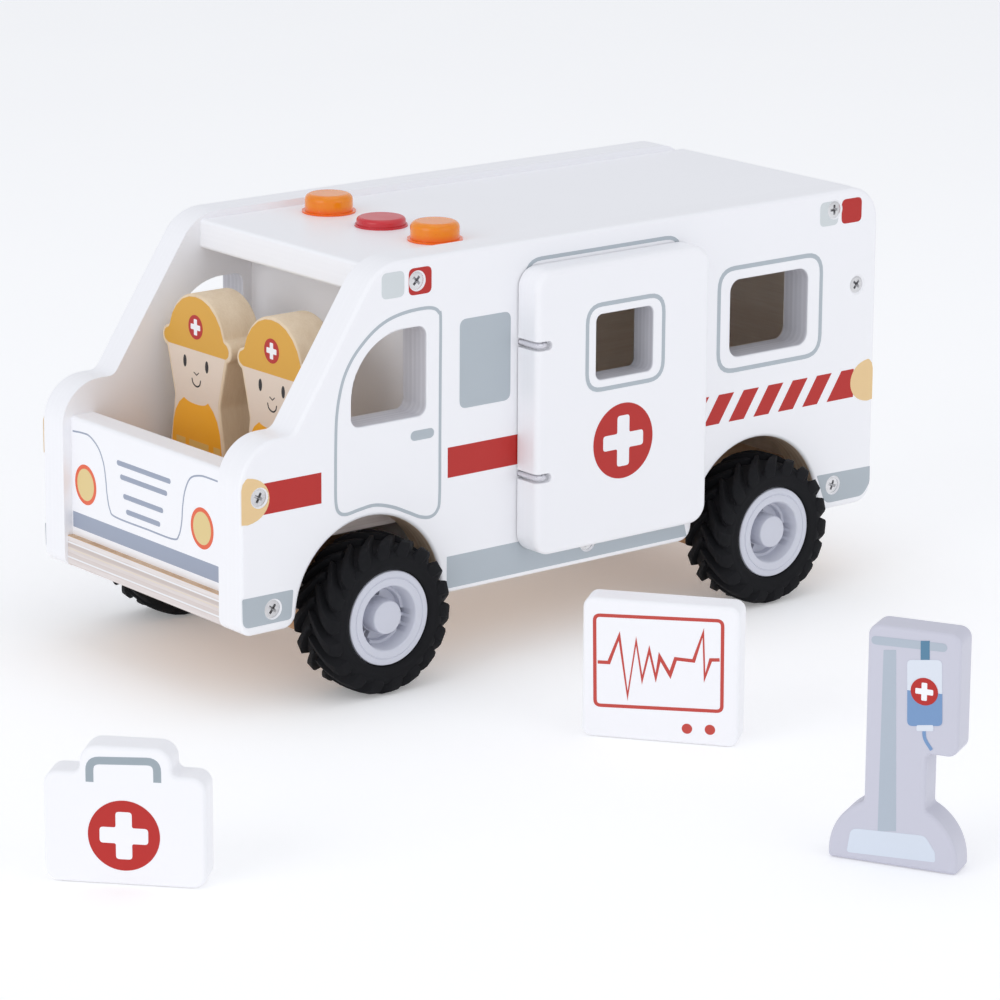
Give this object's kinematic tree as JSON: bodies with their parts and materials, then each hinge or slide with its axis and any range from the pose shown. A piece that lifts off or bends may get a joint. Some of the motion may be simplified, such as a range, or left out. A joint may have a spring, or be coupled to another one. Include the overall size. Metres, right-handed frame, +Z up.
{
  "type": "toy ambulance",
  "caption": "Wooden toy ambulance with opening side door, turning wheels, press-down siren, lift-out figures and loose first aid accessories.",
  "frame": {"origin": "bottom centre of the box round the whole set, on the floor that it stands on", "axes": "+X to the toy's left, the side with the door; +Y from the hood to the tail; +Z up"},
  "size_m": [0.4374, 0.4838, 0.1754],
  "materials": {
    "white_paint": "painted plywood",
    "bare_plywood": "unpainted plywood",
    "figure_wood": "unpainted beech",
    "grey_paint": "painted plywood",
    "tyre_rubber": "moulded",
    "hub_plastic": "moulded",
    "steel": "plated",
    "elastic": "braided cover",
    "orange_lens": "translucent",
    "red_plastic": "moulded",
    "unit_plastic": "moulded",
    "circuit": "solder mask",
    "black_plastic": "moulded",
    "nickel": "plated",
    "brass": "bare"
  },
  "bodies": {
    "chassis": {"left_side_panel": "white_paint", "right_side_panel": "white_paint", "roof_panel": "white_paint", "hood_panel": "white_paint", "cab_bulkhead": "white_paint", "rear_panel": "white_paint", "base_board": "bare_plywood", "cab_floor": "bare_plywood", "front_axle_block": "bare_plywood", "rear_axle_block": "bare_plywood", "left_panel_screws": "steel", "right_panel_screws": "steel", "axle_block_screws": "steel", "housing_screws": "steel", "battery_cover_screw": "steel", "button_spring": "steel", "door_elastic_ends": "elastic", "left_beacon_lens": "orange_lens", "right_beacon_lens": "orange_lens", "siren_button_ring": "red_plastic", "sound_unit_housing": "unit_plastic", "battery_cover": "unit_plastic", "beacon_lamps": "unit_plastic", "circuit_board": "circuit", "push_switch": "black_plastic", "speaker": "black_plastic", "button_cells": "nickel", "battery_contact": "brass"},
    "front_wheels": {"front_axle": "steel", "front_left_hub": "hub_plastic", "front_right_hub": "hub_plastic", "front_left_tyre": "tyre_rubber", "front_right_tyre": "tyre_rubber"},
    "rear_wheels": {"rear_axle": "steel", "rear_left_hub": "hub_plastic", "rear_right_hub": "hub_plastic", "rear_left_tyre": "tyre_rubber", "rear_right_tyre": "tyre_rubber"},
    "door": {"side_door": "white_paint", "upper_door_elastic": "elastic", "lower_door_elastic": "elastic"},
    "button": {"siren_button": "red_plastic"},
    "driver": {"driver_figure": "figure_wood"},
    "partner": {"partner_figure": "figure_wood"},
    "case": {"first_aid_case": "white_paint"},
    "monitor": {"heart_monitor": "white_paint"},
    "stand": {"drip_stand": "grey_paint"}
  },
  "joints": [
    {"name": "front_axle_spin", "type": "hinge", "parent": "chassis", "child": "front_wheels", "pos_m": [-0.139, -0.02446, 0.0313], "axis": [1, 0, 0], "continuous": true},
    {"name": "rear_axle_spin", "type": "hinge", "parent": "chassis", "child": "rear_wheels", "pos_m": [-0.139, 0.17754, 0.0313], "axis": [1, 0, 0], "continuous": true},
    {"name": "door_hinge", "type": "hinge", "parent": "chassis", "child": "door", "pos_m": [-0.0695, 0.04644, 0.103], "axis": [0, 0, -1], "range_deg": [0, 90]},
    {"name": "siren_button_press", "type": "slide", "parent": "chassis", "child": "button", "axis": [0, 0, -1], "range_m": [0, 0.002], "stiffness_N_per_m": 400, "springref_m": -0.001, "deforming": ["button_spring"]},
    {"name": "driver_lift", "type": "slide", "parent": "chassis", "child": "driver", "axis": [0, 0, 1], "range_m": [0, 0.12]},
    {"name": "partner_lift", "type": "slide", "parent": "chassis", "child": "partner", "axis": [0, 0, 1], "range_m": [0, 0.12]},
    {"name": "case_lift", "type": "slide", "parent": "chassis", "child": "case", "axis": [0, 0, 1], "range_m": [0, 0.12]},
    {"name": "monitor_lift", "type": "slide", "parent": "chassis", "child": "monitor", "axis": [0, 0, 1], "range_m": [0, 0.12]},
    {"name": "stand_lift", "type": "slide", "parent": "chassis", "child": "stand", "axis": [0, 0, 1], "range_m": [0, 0.12]}
  ]
}
